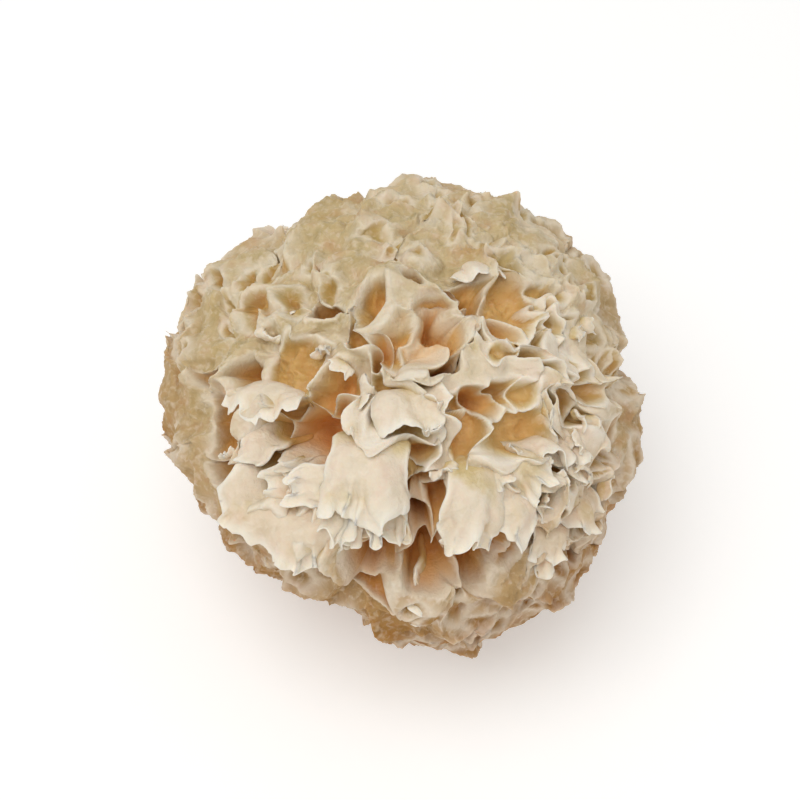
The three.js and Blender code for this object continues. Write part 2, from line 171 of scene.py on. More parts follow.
# Waves in three directions that bend and lean things, and waves that raise and sink them. The last number
# of each is the length of the wave.
BROAD_BEND = three_waves(801, 10, 17)
FINE_BEND = three_waves(951, 10, 6.5)
LEAN = three_waves(1101, 8, 15)
CURL = three_waves(1251, 10, 6)
CRINKLE = three_waves(211, 12, 6)
LUMPS = scattered_waves(401, 10, 11)
BUMPS = scattered_waves(1501, 14, 6.5)
CREASES = scattered_waves(451, 6, 9)
SMALL_CREASES = scattered_waves(471, 6, 4.6)
WRINKLES = scattered_waves(491, 6, 3.0)
FINE_WRINKLES = scattered_waves(511, 6, 1.9)
FOLDS = scattered_waves(1551, 8, 8)
LIPS = scattered_waves(1401, 10, 9)
TEETH = scattered_waves(1451, 10, 3.4)


# ---- The pits ----

# The pits of the best side: across, up, half width and depth.
SHOWN_PITS = [
    (-0.34, 0.49, 3.8, 8), (-0.68, 0.205, 4.0, 10), (-0.80, 0.20, 4.0, 8), (-0.09, 0.52, 4.5, 5),
    (-0.18, 0.36, 5.5, 5), (-0.08, 0.32, 3.2, 8), (-0.10, 0.24, 3.2, 8), (-0.47, 0.24, 7.5, 4),
    (-0.28, 0.08, 6.5, 11), (-0.75, 0.07, 4.5, 5), (-0.35, -0.08, 8.5, 21), (-0.43, -0.15, 5.0, 17),
    (-0.26, 0.0, 6.0, 14), (-0.50, 0.03, 4.5, 9), (-0.59, -0.21, 6.5, 12), (-0.76, -0.06, 6.5, 8),
    (-0.72, -0.22, 6.5, 9), (-0.57, -0.10, 6.0, 13), (-0.33, -0.60, 5.0, 9), (-0.10, -0.55, 5.0, 15),
    (-0.12, -0.68, 5.0, 7), (0.07, -0.42, 6.0, 21), (0.12, -0.55, 7.0, 17), (0.27, -0.56, 6.5, 13),
    (0.0, -0.48, 4.0, 15), (0.17, -0.33, 5.0, 13), (0.08, -0.13, 3.8, 9), (0.10, -0.25, 4.0, 13),
    (0.30, -0.05, 5.5, 7), (0.52, -0.05, 6.5, 7), (0.62, -0.19, 3.2, 14), (0.56, -0.29, 3.4, 14),
    (0.65, -0.33, 2.8, 6), (0.42, -0.54, 1.6, 5), (0.20, 0.36, 4.6, 11), (0.20, 0.25, 3.4, 19),
    (0.28, 0.27, 3.2, 11), (0.34, 0.10, 4.4, 13), (0.42, 0.13, 3.4, 7), (0.25, 0.04, 1.7, 9),
    (0.07, 0.30, 2.6, 9), (0.0, 0.34, 3.6, 6), (0.12, 0.12, 4.2, 7), (0.30, 0.53, 6.5, 7),
    (0.46, 0.52, 6.5, 5), (0.21, 0.56, 3.2, 8), (0.30, 0.46, 2.8, 10), (0.14, 0.50, 4.0, 7),
    (0.45, 0.42, 3.0, 9), (0.57, 0.47, 2.2, 5), (0.57, 0.33, 2.4, 4), (0.55, 0.25, 2.2, 5),
    (0.60, 0.20, 2.4, 4), (0.68, 0.19, 2.4, 6), (0.70, 0.375, 2.4, 4), (0.53, 0.11, 2.2, 4),
    (0.74, 0.08, 2.2, 5), (0.77, 0.02, 2.8, 4), (0.87, 0.10, 3.0, 4), (0.06, 0.60, 2.6, 4),
]

# Where the head is open and ruffled: direction and angular spread. Elsewhere its skin is closed, with
# shallow pits and low crests.
OPEN_PLACES = [
    (place_on_best_side(0.05, -0.10), 0.50),
    (place_on_best_side(-0.45, -0.10), 0.30),
    (place_on_best_side(0.70, 0.02), 0.36),
    (place_on_best_side(0.62, 0.30), 0.24),
    (unit(np.array([0.65, 0.75, -0.1])), 0.42),
    (unit(np.array([-0.7, 0.7, 0.0])), 0.42),
    (unit(np.array([0.0, 0.95, -0.3])), 0.45),
]


def openness(directions):
    """How open the head is along unit directions, from 0, a closed skin, to 1."""
    total = 0
    for place, spread in OPEN_PLACES:
        total = total + np.exp(-(np.arccos(np.clip(directions @ place, -1, 1)) / spread) ** 2)
    return np.minimum(1, total)


# No scattered pit lies lower than this share of the way down from the middle, or closer to the rim of a
# shown one than this angle.
LOWEST_PIT = -0.93
PIT_MARGIN = 0.03

# How many places are tried for the pits of the rest of the head, and how far the places stray.
LATTICE_POINTS = 460
LATTICE_JITTER = 0.13

# On closed and on open skin: the share of those places with a pit, the least half width and depth and how
# much they vary, and how the side of a pit steepens towards its rim.
PIT_SHARES = (0.45, 1.0)
PIT_WIDTHS = (2.0, 3.0)
PIT_WIDTH_SPREADS = (1.8, 2.4)
PIT_DEPTHS = (1.2, 3.0)
PIT_DEPTH_SPREADS = (2.5, 7.0)
PIT_POWERS = (1.9, 3.2)

# The same for small pits all over the head, which the solid leaves out. They are fewer on its left.
SMALL_LATTICE_POINTS = 1300
SMALL_LATTICE_JITTER = 0.07
SMALL_PIT_SHARES = (0.35, 0.60)
SMALL_PIT_SHARE_ON_LEFT = 0.3
SMALL_PIT_WIDTH = 1.5
SMALL_PIT_WIDTH_SPREAD = 1.2
SMALL_PIT_DEPTHS = (0.6, 1.5)
SMALL_PIT_DEPTH_SPREADS = (1.2, 3.0)


def lattice(count):
    """Evenly spread directions over a whole sphere, by the golden angle."""
    for i in range(count):
        z = 1 - 2 * (i + 0.5) / count
        flat = math.sqrt(1 - z * z)
        angle = math.pi * (3 - math.sqrt(5)) * i
        yield i, np.array([flat * math.cos(angle), flat * math.sin(angle), z])


def jittered(direction, first_key, size):
    return unit(direction + size * np.array([chance(first_key + axis) - 0.5 for axis in range(3)]))


def pits():
    """Every pit of the head: its direction, half width, depth and steepening power."""
    places = [(place_on_best_side(across, up), width, depth, PIT_POWERS[1])
              for across, up, width, depth in SHOWN_PITS]
    shown = np.array([place for place, *_ in places])
    spacing = np.array([width for _, width, *_ in places]) / MEAN_RADIUS + PIT_MARGIN

    def is_free(direction, out):
        is_clear = (np.arccos(np.clip(shown @ out, -1, 1)) >= spacing).all()
        return direction[2] >= LOWEST_PIT and is_clear

    for i, direction in lattice(LATTICE_POINTS):
        out = jittered(direction, 5000 + 3 * i, LATTICE_JITTER)
        is_open = float(openness(out))
        if is_free(direction, out) and chance(5700 + i) <= mix(*PIT_SHARES, is_open):
            width = mix(*PIT_WIDTHS, is_open) + mix(*PIT_WIDTH_SPREADS, is_open) * chance(5500 + i) ** 2
            depth = mix(*PIT_DEPTHS, is_open) + mix(*PIT_DEPTH_SPREADS, is_open) * chance(5600 + i) ** 2
            places.append((out, width, depth, mix(*PIT_POWERS, is_open)))
    for i, direction in lattice(SMALL_LATTICE_POINTS):
        out = jittered(direction, 6000 + 3 * i, SMALL_LATTICE_JITTER)
        is_open = float(openness(out))
        on_right = mix(SMALL_PIT_SHARE_ON_LEFT, 1, smooth(out[0], -0.2, 0.3))
        if is_free(direction, out) and chance(10100 + i) < mix(*SMALL_PIT_SHARES, is_open) * on_right:
            width = SMALL_PIT_WIDTH + SMALL_PIT_WIDTH_SPREAD * chance(11500 + i)
            spread = mix(*SMALL_PIT_DEPTH_SPREADS, is_open)
            depth = mix(*SMALL_PIT_DEPTHS, is_open) + spread * chance(13000 + i)
            places.append((out, width, depth, mix(*PIT_POWERS, is_open)))
    return places


# How far the broad and the fine waves move the pits' walls, in millimetres.
BROAD_BEND_SIZE = 1.4
FINE_BEND_SIZE = 0.4


def bent(out):
    """Unit directions, moved a little by waves, so that no pit is quite round."""
    points = out * MEAN_RADIUS
    shift = BROAD_BEND_SIZE * wave_shift(BROAD_BEND, points)
    points = points + shift + FINE_BEND_SIZE * wave_shift(FINE_BEND, points)
    return points / np.linalg.norm(points, axis=1, keepdims=True)


# Pits are carved into so many points of the skin at a time, to save memory.
CARVED_AT_ONCE = 20000


def carved(out):
    """How deep the pits are along unit directions, and how far each place is from the crest between two
    pits, or between a pit and the skin."""
    places = pits()
    centres = bent(np.array([place for place, *_ in places]))
    widths, depths, powers = np.array([sizes for _, *sizes in places]).T
    # The last one is the skin, which is flat.
    widths, depths, powers = np.append(widths, MEAN_RADIUS), np.append(depths, 0), np.append(powers, 1)
    steepness = powers * depths / widths
    at = bent(out)
    deepest = np.zeros(len(out))
    from_crest = np.zeros(len(out))
    for start in range(0, len(out), CARVED_AT_ONCE):
        part = slice(start, start + CARVED_AT_ONCE)
        across = np.sqrt(np.maximum(0, 2 - 2 * at[part] @ centres.T)) * MEAN_RADIUS
        across = np.concatenate([across, np.full((len(across), 1), MEAN_RADIUS)], 1) / widths
        carve = depths * (1 - across ** powers)
        largest = np.argpartition(-carve, 1, axis=1)[:, :2]
        slopes = steepness[largest] * np.take_along_axis(across, largest, 1) ** (powers[largest] - 1)
        two = np.take_along_axis(carve, largest, 1)
        deepest[part] = two.max(1)
        from_crest[part] = np.ptp(two, axis=1) / np.maximum(slopes.sum(1), 0.1)
    return deepest, from_crest


# ---- The skin ----

# How wide a crest is on closed and on open skin, in millimetres, and how far the walls between pits rise
# above where the pits meet, as a share of the depth there.
CREST_WIDTHS = (1.9, 0.75)
WALL_SHARE = 0.45

# How many times more the closed skin is softened than the open head.
ROUNDING = 2

# A pit in closed skin takes the colour of one that is so many times as deep in the open, painted shade
# included.
CLOSED_DEEPER = 2.0

# Heights in millimetres on closed and on open skin, of the lips that crests rise to, and of ridges from
# broad to fine.
LIP_HEIGHTS = (0.35, 2.4)
CREASE_HEIGHTS = (1.8, 1.4)
SMALL_CREASE_HEIGHTS = (3.0, 0.9)
WRINKLE_HEIGHTS = (2.5, 0.7)
FINE_WRINKLE_HEIGHTS = (0.9, 0.4)

# Heights of the crests' teeth, of lumps and bumps, and of folds in the walls of deep pits. Then how far
# the skin leans, its crests curl and all of it crinkles.
TOOTH_HEIGHT = 0.22
LUMP_HEIGHT = 0.5
BUMP_HEIGHT = 0.45
FOLD_HEIGHT = 3.0
LEAN_SHIFT = 1.3
CURL_SHIFT = 1.3
CRINKLE_SHIFT = 0.10


def cube_ball(divisions):
    """Unit directions spread over a ball as on a swollen cube, and the quads between them. They lie
    closer together on the best side."""
    line = np.arange(divisions + 1)
    first, second = [part.ravel() for part in np.meshgrid(line, line, indexing="ij")]
    ends = (np.zeros_like(first), np.full_like(first, divisions))
    corners, faces = [], []
    quad = np.arange((divisions + 1) ** 2).reshape(divisions + 1, divisions + 1)
    quad = np.stack([quad[:-1, :-1], quad[1:, :-1], quad[1:, 1:], quad[:-1, 1:]], -1).reshape(-1, 4)
    for axis in range(3):
        for side, end in enumerate(ends):
            order = [first, second]
            order.insert(axis, end)
            faces.append((quad if side == (axis != 1) else quad[:, ::-1]) + sum(map(len, corners)))
            corners.append(np.stack(order, -1))
    places, merged = np.unique(np.concatenate(corners), axis=0, return_inverse=True)
    out = np.tan((places / divisions * 2 - 1) * math.pi / 4)
    out = out / np.linalg.norm(out, axis=1, keepdims=True) + FINER_FRONT * OUT
    return out / np.linalg.norm(out, axis=1, keepdims=True), merged.reshape(-1)[np.concatenate(faces)]


def skin_points(out):
    """The skin along unit directions: pits, and crests that rise between them, lean over and curl. Also
    returns how deep and how near a crest each point is."""
    deepest, from_crest = carved(out)
    is_open = openness(out)
    crest = np.exp(-(from_crest / mix(*CREST_WIDTHS, is_open)) ** 1.5)
    deep = deepest * (1 - WALL_SHARE * crest)
    base = MIDDLE + out * (reach(out) * SKIN_SHARE)[:, None]
    lip = np.clip(0.5 + 0.6 * wave_height(LIPS, base), 0, 1.1) * mix(*LIP_HEIGHTS, is_open)
    teeth = TOOTH_HEIGHT * wave_height(TEETH, base) * mix(0.3, 1, is_open)
    rise = crest * (lip + teeth)
    winding = wave_shift(FINE_BEND, base)
    wrinkles = wave_creases(WRINKLES, base + winding)
    creases = mix(*CREASE_HEIGHTS, is_open) * wave_creases(CREASES, base + 1.5 * winding)
    creases = creases + mix(*SMALL_CREASE_HEIGHTS, is_open) * wave_creases(SMALL_CREASES, base + winding)
    creases = creases + mix(*WRINKLE_HEIGHTS, is_open) * wrinkles
    bumps = LUMP_HEIGHT * wave_height(LUMPS, base) + BUMP_HEIGHT * wave_height(BUMPS, base) + creases
    folds = FOLD_HEIGHT * wave_creases(FOLDS, base) * smooth(deep, 3, 12)
    points = base + out * (rise + bumps + folds - deep)[:, None]
    near_top = np.exp(-deep / 3.0)
    points = points + LEAN_SHIFT * wave_shift(LEAN, base) * near_top[:, None]
    points = points + CURL_SHIFT * wave_shift(CURL, base) * (crest * mix(0.5, 1, is_open))[:, None]
    points = points + CRINKLE_SHIFT * wave_shift(CRINKLE, points)
    points[:, 2] = np.maximum(points[:, 2], FLOOR_CLEARANCE)
    # The tops of wrinkles get the crests' pale colour, which is partly a painted highlight.
    ridge = smooth(wrinkles, 0.10, 0.35) * mix(0.6, 0.35, is_open)
    return points, deep, np.maximum(crest, ridge), is_open


def softened(points, faces):
    """Each point moved to the middle of the faces round it, which rounds what is sharper than a face."""
    corners = faces.ravel()
    count = np.bincount(corners)
    middles = np.repeat(points[faces].mean(1), faces.shape[1], axis=0)
    return np.stack([np.bincount(corners, middles[:, axis]) / count for axis in range(3)], -1)


def skin(material):
    """The head's skin, in four pieces. The closed skin is rounder, and fine wrinkles lie over all of it."""
    out, faces = cube_ball(SKIN_QUADS)
    points, deep, crest, is_open = skin_points(out)
    points = softened(softened(points, faces), faces)
    rounder = points
    for _ in range(ROUNDING):
        rounder = softened(rounder, faces)
    points = mix(rounder, points, is_open[:, None])
    wrinkles = wave_creases(FINE_WRINKLES, points + wave_shift(FINE_BEND, points))
    points = points + out * (mix(*FINE_WRINKLE_HEIGHTS, is_open) * wrinkles)[:, None]
    values = {"deep": deep * mix(CLOSED_DEEPER, 1, is_open), "crest": crest, "open": is_open}
    on_front = (out @ OUT)[faces].mean(1) > 0.25
    on_left = out[faces, 0].mean(1) < 0
    quarters = (("skin_front_left", on_front & on_left), ("skin_front_right", on_front & ~on_left),
                ("skin_back_left", ~on_front & on_left), ("skin_back_right", ~on_front & ~on_left))
    for name, chosen in quarters:
        used, renamed = np.unique(faces[chosen], return_inverse=True)
        part_values = {value_name: numbers[used] for value_name, numbers in values.items()}
        part_faces = renamed.reshape(-1, faces.shape[1])
        finish_piece(mesh_piece(name, points[used], part_faces, part_values), material)


# ---- The fronds ----

# The fronds of the best side. Each row holds the place across and up that side, the turn in degrees that
# the frond drapes towards, its length beyond the bend, its width, how far it curls over, how its sides cup
# and its rim flips up (all in radians), how strong its ruffles are, how many broad folds it has, and how
# high it rises as a share of the way out to the tips.
SHOWN_FRONDS = [
    (-0.11, -0.07, 262, 17, 18, 1.40, 0.9, 0.2, 1.1, 1.7, 1.03),
    (-0.20, -0.24, 192, 13, 9, 1.30, 0.4, 0.3, 0.6, 0.9, 0.97),
    (-0.19, -0.30, 250, 9, 8, 1.30, 0.8, 0.9, 0.9, 1.0, 1.00),
    (-0.05, -0.28, 270, 9, 8, 1.35, -0.6, 1.0, 0.9, 1.0, 1.01),
    (-0.43, -0.25, 190, 5, 8, 1.3, 0.4, 0.4, 0.4, 0.8, 0.98),
    (-0.44, -0.35, 252, 10, 31, 1.40, 0.1, 0.3, 0.8, 2.4, 1.01),
    (0.31, -0.17, 262, 17, 14, 1.45, 0.6, 0.5, 1.1, 1.7, 1.01),
    (0.45, -0.22, 276, 13, 12, 1.40, 0.4, 0.6, 0.9, 1.1, 0.99),
    (0.44, -0.15, 318, 8, 9, 1.35, 0.3, 0.9, 0.9, 1.2, 1.02),
    (0.56, -0.10, 282, 4, 20, 1.1, -0.4, 0.4, 0.8, 1.6, 0.98),
    (-0.57, -0.08, 213, 6, 7, 1.3, 0.7, 0.3, 0.4, 0.7, 0.96),
    (-0.57, 0.15, 264, 6, 19, 1.35, -0.2, 0.2, 0.5, 1.5, 0.99),
    (0.03, 0.13, 285, 9, 16, 1.3, 0.3, 0.4, 0.7, 1.2, 0.97),
    (0.33, 0.68, 268, 4, 12, 1.3, -0.4, 0.6, 0.4, 0.8, 0.96),
    (0.75, -0.30, 290, 8, 12, 1.3, 0.2, 0.4, 0.9, 1.3, 0.97),
    (0.64, -0.28, 262, 6, 7, 1.3, 0.2, 0.4, 0.8, 0.9, 0.96),
    (0.62, -0.42, 275, 7, 11, 1.3, 0.2, 0.4, 0.8, 1.2, 0.96),
    (0.13, -0.67, 245, 5, 7, 1.3, 0.2, 0.6, 0.6, 0.9, 0.96),
    (0.57, -0.50, 280, 6, 8, 1.3, 0.2, 0.4, 0.8, 1.0, 0.96),
    (0.72, -0.10, 300, 4, 5, 1.3, 0.2, 0.6, 0.6, 0.8, 0.97),
]

# The root share is of the way from the middle out to the tips. A frond rises a share of the rest of the
# way, then bends over within so many millimetres and a share of its length. Beyond, it droops more than the
# head curves away below it. Its rim has rounded corners and lobes, and its root is narrower, reaching a
# share of its width to each side, and may bow. From there it fans out.
ROOT_SHARE = 0.66
RISE_SHARE = 0.8
BEND = 3.0
BEND_SHARE = 0.35
DROOP = 1.5
CORNER_CUT = 0.6
LOBE_WIDTH = 5.0
ROOT_HALF = 0.25
ROOT_BOW = 0.22
FAN = 1.3

# A frond takes no depth colour, and so no painted shade, until it lies this far below the skin. Pits deeper
# than the limit hold no frills.
PALE_DEPTH = 4.0
FRILL_LIMIT = 2.2


def make_frond(seed, out, drape, root, rise, **sizes):
    """A frond that starts at root, in millimetres from the middle, and rises so far before it hangs over."""
    over = unit(drape - out * (drape @ out))
    side = np.cross(out, over)
    return SimpleNamespace(seed=seed, out=out, over=over, side=side, root=root, rise=rise, **sizes)


def shown_fronds():
    fronds = []
    for i, row in enumerate(SHOWN_FRONDS):
        across, up, drape, length, width, curl, cup, flip, ruffle, folds, high = row
        out = place_on_best_side(across, up)
        radius = float(reach(out))
        fronds.append(make_frond(
            1 + i, out, turn_on_best_side(drape), radius * ROOT_SHARE,
            radius * (high - ROOT_SHARE) * RISE_SHARE,
            bend=BEND + BEND_SHARE * length, length=length, width=width, curl=curl, cup=cup, flip=flip,
            ruffle=ruffle, folds=folds))
    return fronds


# The two sizes of ruffle: waves per frond, height and side swing as shares of the wave's length, and how
# far along the frond they start.
RUFFLES = [(1, 0.32, 0.4, 0.30), (3.1, 0.34, 0.5, 0.62)]
RUFFLE_END = 1.05

# The bend starts at this share of the rise. The cup leaves the lean alone where the square of the place
# across is the level, and the rim flips up from so far along the frond.
BEND_START = 0.6
CUP_LEVEL = 0.33
FLIP_START = 0.82

# A broad and a fine wave make the rim uneven, by these shares of the frond's length, between two places
# along it. The broad one has so many half turns, and no step is shorter than the least share.
RIM_BROAD = 0.14
RIM_FINE = 0.05
RIM_TURNS = 1.9
RIM_PLACES = (0.55, 0.85)
LEAST_STEP = 0.08

# The rim starts this far along a frond. The side edges count as rim too, ever more between two places.
RIM_START = 0.75
SIDE_RIM_PLACES = (0.3, 0.6)


def frond_sheet(frond, across, along):
    """The sheet of one frond. Each line from root to rim walks outwards, bends over into the drape, follows
    the head round and swings with the ruffles. Also returns how far along each row lies."""
    def key(k):
        return chance(frond.seed * 17.3 + k)

    total = frond.rise + frond.length
    share = frond.rise / total
    bend = frond.bend / total
    u = np.linspace(-1, 1, across)[:, None]
    v = (1 - (1 - np.arange(along) / (along - 1)) ** 1.2)[None, :]
    lean = frond.curl * smooth(v, share * BEND_START, share + bend)
    lean = lean + DROOP * np.maximum(0, v - share) * total / MEAN_RADIUS
    lean = lean + frond.cup * (u ** 2 - CUP_LEVEL) * smooth(v, share * BEND_START, 1)
    lean = lean - frond.flip * smooth(v, FLIP_START, RUFFLE_END)
    base_half = frond.width * ROOT_HALF
    turn = FAN * math.asin(min(0.8, (frond.width / 2 - base_half) / total)) * u * np.ones_like(v)
    for k, (finer, height, swing, start) in enumerate(RUFFLES):
        folds = frond.folds * finer
        strength = smooth(v, start, RUFFLE_END)
        area = np.trapz(strength[0], v[0]) * total
        uneven = u + 0.1 * np.sin(2.1 * math.pi * u + TURN * key(20 + k))
        phase = math.pi * folds * uneven + TURN * key(10 + k)
        stronger = 0.8 + 0.4 * np.sin(1.7 * math.pi * u + TURN * key(30 + k))
        size = stronger * frond.ruffle * frond.width / folds
        lean = lean + size / area * height * strength * np.sin(phase)
        turn = turn - size / area * swing / (4 * math.pi) * strength * np.sin(2 * phase)
    step = (np.cos(turn) * np.cos(lean))[..., None] * frond.out
    step = step + (np.cos(turn) * np.sin(lean))[..., None] * frond.over + np.sin(turn)[..., None] * frond.side
    lobes = frond.width / LOBE_WIDTH
    rim = RIM_BROAD * np.sin(RIM_TURNS * math.pi * u + TURN * key(1))
    rim = rim + RIM_FINE * np.sin(lobes * math.pi * u + TURN * key(2))
    rim = (rim - CORNER_CUT * np.abs(u) ** 3) * smooth(v[:, 1:], *RIM_PLACES)
    lengths = np.diff(v, axis=1) * total * np.maximum(LEAST_STEP, 1 + rim)
    walked = np.cumsum(0.5 * (step[:, 1:] + step[:, :-1]) * lengths[..., None], axis=1)
    walked = np.concatenate([np.zeros((across, 1, 3)), walked], axis=1)
    bow = frond.width * ROOT_BOW * (2 * key(5) - 1)
    root = MIDDLE + frond.out * frond.root
    foot = frond.side * base_half * u[..., None] + frond.over * bow * u[..., None] ** 2
    return root + foot + walked, np.broadcast_to(v, (across, along))


def face_normals(points):
    normal = np.cross(np.gradient(points, axis=0), np.gradient(points, axis=1))
    return normal / np.maximum(np.linalg.norm(normal, axis=-1, keepdims=True), 1e-9)


def rim_share(u, v, side_start):
    """How near a point is to the rim or a side edge of its frond, from 0 to 1."""
    return np.maximum(smooth(v, RIM_START, 1), smooth(np.abs(u), side_start, 1) * smooth(v, *SIDE_RIM_PLACES))


# How far a frond's rim curls to and fro and its teeth reach, in millimetres, and how far in from the rim
# they start.
RIM_CURL = 0.32
RIM_CURL_START = 2.6
RIM_TEETH = 0.30
RIM_FINE_TEETH = 0.12
RIM_TEETH_START = 2.0


def toothed(frond, points, v):
    """Adds the small curls and teeth of a frond's rim, and the lumps of its faces."""
    def key(k):
        return chance(frond.seed * 31.7 + k)

    u = np.linspace(-1, 1, len(points))[:, None]
    normal = face_normals(points)
    waves = frond.width * 0.30
    phase = math.pi * waves * (u + 0.06 * np.sin(3.3 * math.pi * u + TURN * key(3))) + TURN * key(4)
    uneven = 0.45 + 0.45 * np.sin(3.1 * math.pi * u + TURN * key(6))
    steps = np.linalg.norm(np.diff(points, axis=1), axis=-1)
    from_rim = np.concatenate([np.cumsum(steps[:, ::-1], 1)[:, ::-1], np.zeros((len(points), 1))], 1)
    lift = RIM_CURL * smooth(-from_rim, -RIM_CURL_START, 0) * uneven * np.sin(phase)
    flat = points.reshape(-1, 3)
    lumps = LUMP_HEIGHT * wave_height(LUMPS, flat) + 0.7 * wave_creases(SMALL_CREASES, flat)
    lift = lift + lumps.reshape(v.shape) * smooth(v, 0.3, 0.6)
    outward = np.gradient(points, axis=1)
    outward /= np.maximum(np.linalg.norm(outward, axis=-1, keepdims=True), 1e-9)
    teeth = RIM_TEETH * np.sin(waves * 1.31 * math.pi * u + TURN * key(7))
    teeth = teeth + RIM_FINE_TEETH * np.sin(waves * 2.17 * math.pi * u + TURN * key(8))
    teeth = teeth * smooth(-from_rim, -RIM_TEETH_START, 0)
    points = points + normal * lift[..., None] + outward * teeth[..., None]
    crinkle = wave_shift(CRINKLE, points.reshape(-1, 3)).reshape(points.shape)
    return points + crinkle * (0.10 + 0.15 * v)[..., None]


# A frond is this share thinner at its rim, and so many times thicker at its root.
RIM_THINNING = 0.6
ROOT_TIMES_THICKER = 1.9


def closed_shell(points, thickness):
    """Gives a sheet its thickness, with a rounded edge. Returns the vertices, the faces and, for each
    vertex, which point of the sheet it came from."""
    across, along = points.shape[:2]
    count = across * along
    normal = face_normals(points)
    v = np.linspace(0, 1, along)[None, :, None]
    u = np.linspace(-1, 1, across)[:, None, None]
    thin = 1 - RIM_THINNING * rim_share(u, v, 0.85)
    half = thickness * mix(ROOT_TIMES_THICKER, 1, smooth(v, 0.2, 0.9)) / 2 * thin
    index = np.arange(count).reshape(across, along)
    quads = np.stack([index[:-1, :-1], index[1:, :-1], index[1:, 1:], index[:-1, 1:]], -1).reshape(-1, 4)
    edge = np.concatenate([index[:-1, 0], index[-1, :-1], index[:0:-1, -1], index[0, :0:-1]])
    inner = index[np.clip(edge // along, 1, across - 2), np.clip(edge % along, 1, along - 2)]
    flat = points.reshape(-1, 3)
    inward = flat[inner] - flat[edge]
    inward /= np.maximum(np.linalg.norm(inward, axis=1, keepdims=True), 1e-9)
    ring = flat[edge] - inward * half.reshape(-1, 1)[edge] * 0.9
    front, back = [(points + side * normal * half).reshape(-1, 3) for side in (1, -1)]
    vertices = np.concatenate([front, back, ring])
    here = 2 * count + np.arange(len(edge))
    after = np.roll(here, -1)
    edge_after = np.roll(edge, -1)
    faces = [
        quads,
        quads[:, ::-1] + count,
        np.stack([edge_after, edge, here, after], 1),
        np.stack([edge + count, edge_after + count, after, here], 1),
    ]
    return vertices, np.concatenate(faces), np.concatenate([np.arange(count), np.arange(count), edge])


# How many places are tried for frills, how far the places stray, the share of them with a frill where the
# head is open, and how deep below the skin a frill is rooted.
FRILL_LATTICE_POINTS = 1500
FRILL_JITTER = 0.08
FRILL_SHARE = 0.34
FRILL_ROOT_DEPTH = 1.2


def frills():
    """Small curled fronds, which stand on the skin and in its pits wherever the head is open."""
    found = []
    for i, direction in lattice(FRILL_LATTICE_POINTS):
        out = jittered(direction, 20000 + 3 * i, FRILL_JITTER)
        is_open = float(openness(out))
        if direction[2] > LOWEST_PIT and chance(25000 + i) < FRILL_SHARE * is_open:
            found.append((i, out, is_open))
    deep = carved(np.array([out for _, out, _ in found]))[0]
    for (i, out, is_open), depth in zip(found, deep):
        if depth > FRILL_LIMIT:
            continue
        keys = [chance(30000 + 10 * i + k) for k in range(10)]
        drape = np.array([keys[0], keys[1], 0.7 * keys[2]]) - 0.5
        yield make_frond(
            200 + i, out, drape, float(reach(out)) * SKIN_SHARE - depth - FRILL_ROOT_DEPTH,
            1.2 + mix(0.4, 1.4, is_open) * keys[3],
            bend=1.8, length=1.2 + mix(0.8, 2.2, is_open) * keys[4], width=3.5 + 4.5 * keys[5],
            curl=0.9 + 0.6 * keys[6], cup=keys[7] - 0.5, flip=0.2 + 0.6 * keys[8], ruffle=0.9,
            folds=0.8 + 1.2 * keys[9])


def joined_fronds(name, chosen, grid, thickness, root_depth, material):
    """One piece that holds all the chosen fronds. Their roots take the colour of the bottom of a pit of the
    root depth, painted shade included."""
    parts, faces, crests, root_depths, first = [], [], [], [], 0
    for frond in chosen:
        points, v = frond_sheet(frond, *grid)
        vertices, shell_faces, source = closed_shell(toothed(frond, points, v), thickness)
        parts.append(vertices)
        faces.append(shell_faces + first)
        u = np.linspace(-1, 1, grid[0])[:, None]
        crests.append(rim_share(u, v, 0.8).ravel()[source])
        root_depths.append(root_depth * (1 - smooth(v, 0.3, 0.65)).ravel()[source])
        first += len(vertices)
    points = np.concatenate(parts)
    away = points - MIDDLE
    distance = np.linalg.norm(away, axis=1)
    below_skin = reach(away / distance[:, None]) * SKIN_SHARE - distance
    deep = np.maximum(np.concatenate(root_depths), below_skin - PALE_DEPTH)
    values = {"deep": deep, "crest": np.concatenate(crests), "open": np.ones(len(points))}
    finish_piece(mesh_piece(name, points, np.concatenate(faces), values), material)


# ---- Meshes ----


def mesh_piece(name, vertices, faces, values):
    """A smooth-shaded mesh object in metres, with a number on every vertex for each name in values."""
    mesh = bpy.data.meshes.new(name)
    mesh.vertices.add(len(vertices))
    mesh.vertices.foreach_set("co", (vertices * METRES).astype(np.float32).ravel())
    mesh.loops.add(faces.size)
    mesh.loops.foreach_set("vertex_index", faces.ravel().astype(np.int32))
    mesh.polygons.add(len(faces))
    corners = faces.shape[1]
    mesh.polygons.foreach_set("loop_start", np.arange(0, faces.size, corners, dtype=np.int32))
    mesh.polygons.foreach_set("loop_total", np.full(len(faces), corners, np.int32))
    mesh.polygons.foreach_set("use_smooth", np.ones(len(faces), bool))
    mesh.update()
    mesh.validate()
    for value_name, numbers in values.items():
        attribute = mesh.attributes.new(value_name, "FLOAT", "POINT")
        attribute.data.foreach_set("value", numbers.astype(np.float32))
    piece = bpy.data.objects.new(name, mesh)
    bpy.context.scene.collection.objects.link(piece)
    return piece


def finish_piece(piece, material):
    piece.data.materials.append(material)
    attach(piece, BODY)
    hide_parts(NODE)


# ---- The cut base ----


def fine_ball(subdivisions):
    """Unit directions spread over a ball, and the triangles between them."""
    ball = bmesh.new()
    bmesh.ops.create_icosphere(ball, subdivisions=subdivisions, radius=1)
    out = np.array([vertex.co[:] for vertex in ball.verts])
    faces = np.array([[vertex.index for vertex in face.verts] for face in ball.faces])
    ball.free()
    return out / np.linalg.norm(out, axis=1, keepdims=True), faces


